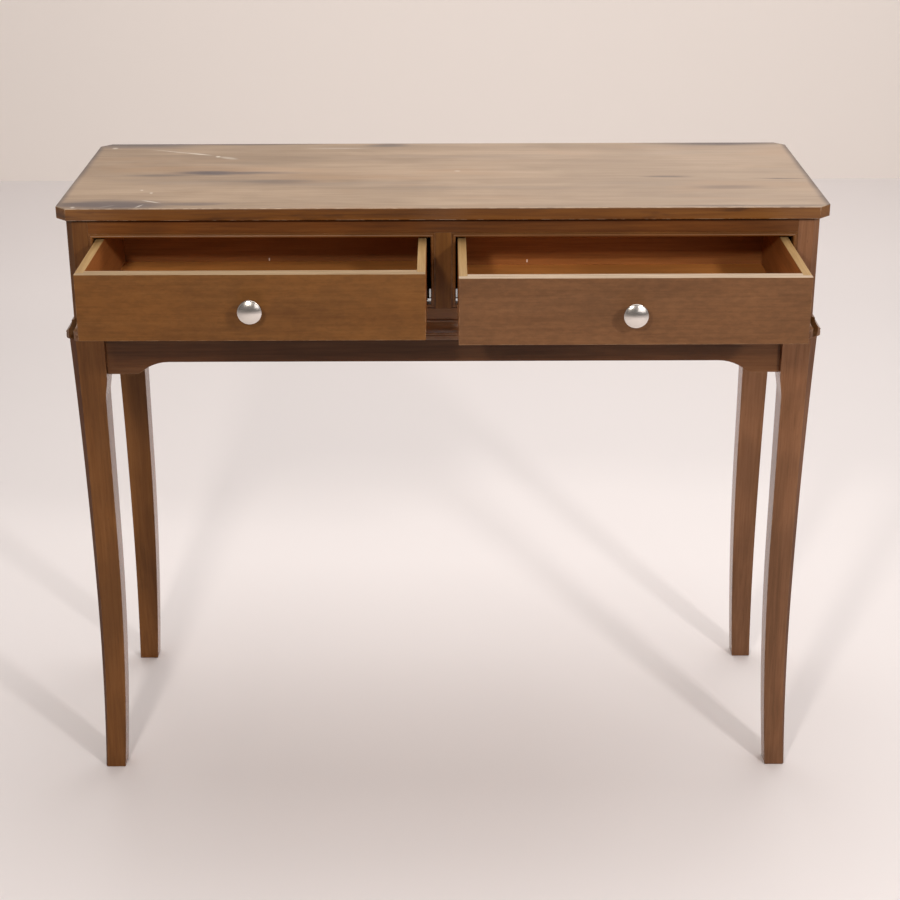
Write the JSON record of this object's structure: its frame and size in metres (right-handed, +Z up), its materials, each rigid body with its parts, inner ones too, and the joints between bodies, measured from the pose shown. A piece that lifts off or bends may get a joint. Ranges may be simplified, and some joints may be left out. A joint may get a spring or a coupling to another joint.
{
  "type": "console table",
  "caption": "Narrow side table on four curved legs, with a case of sliding drawers under a top with clipped corners.",
  "frame": {"origin": "on the floor, under the middle of the whole object's box as modelled, with both drawers part open and the knobs included", "axes": "+Z up; +X along the length, to the right of someone facing the drawers; the drawers open towards -Y"},
  "size_m": [1.016, 0.5624, 0.848],
  "materials": {
    "top_wood": "satin lacquer over a worn brown stain",
    "stained_wood": "satin lacquer over a brown stain",
    "case_wood": "unfinished",
    "drawer_wood": "thin orange-brown lacquer, top edges bare",
    "satin_nickel": "satin nickel",
    "zinc_steel": "zinc plated",
    "nylon": "white nylon"
  },
  "bodies": {
    "carcass": {"table_top": "top_wood", "front_left_leg": "stained_wood", "front_right_leg": "stained_wood", "rear_left_leg": "stained_wood", "rear_right_leg": "stained_wood", "front_apron": "stained_wood", "back_apron": "stained_wood", "left_apron": "stained_wood", "right_apron": "stained_wood", "waist_front": "stained_wood", "waist_back": "stained_wood", "waist_left": "stained_wood", "waist_right": "stained_wood", "front_left_post": "stained_wood", "front_right_post": "stained_wood", "rear_left_post": "stained_wood", "rear_right_post": "stained_wood", "left_end_panel": "stained_wood", "right_end_panel": "stained_wood", "top_rail": "stained_wood", "bottom_rail": "stained_wood", "centre_stile": "stained_wood", "left_opening_bead": "stained_wood", "right_opening_bead": "stained_wood", "case_back": "case_wood", "dust_panel": "case_wood", "centre_divider": "case_wood", "left_kicker": "case_wood", "right_kicker": "case_wood", "left_track_batten": "case_wood", "right_track_batten": "case_wood", "corner_blocks": "case_wood", "left_track": "zinc_steel", "right_track": "zinc_steel", "top_screws": "zinc_steel", "corner_block_screws": "zinc_steel", "corner_guide_tacks": "zinc_steel", "track_screws": "zinc_steel", "corner_guides": "nylon"},
    "left_drawer": {"left_drawer_front": "stained_wood", "left_drawer_left_side": "drawer_wood", "left_drawer_right_side": "drawer_wood", "left_drawer_back": "drawer_wood", "left_drawer_bottom": "drawer_wood", "left_drawer_knob": "satin_nickel", "left_knob_screw": "zinc_steel", "left_rear_guide": "nylon", "left_rear_guide_screws": "zinc_steel"},
    "right_drawer": {"right_drawer_front": "stained_wood", "right_drawer_left_side": "drawer_wood", "right_drawer_right_side": "drawer_wood", "right_drawer_back": "drawer_wood", "right_drawer_bottom": "drawer_wood", "right_drawer_knob": "satin_nickel", "right_knob_screw": "zinc_steel", "right_rear_guide": "nylon", "right_rear_guide_screws": "zinc_steel"}
  },
  "joints": [
    {"name": "left_drawer_slide", "type": "slide", "parent": "carcass", "child": "left_drawer", "axis": [0, -1, 0], "range_m": [-0.1554, 0.0696]},
    {"name": "right_drawer_slide", "type": "slide", "parent": "carcass", "child": "right_drawer", "axis": [0, -1, 0], "range_m": [-0.1749, 0.0501]}
  ]
}
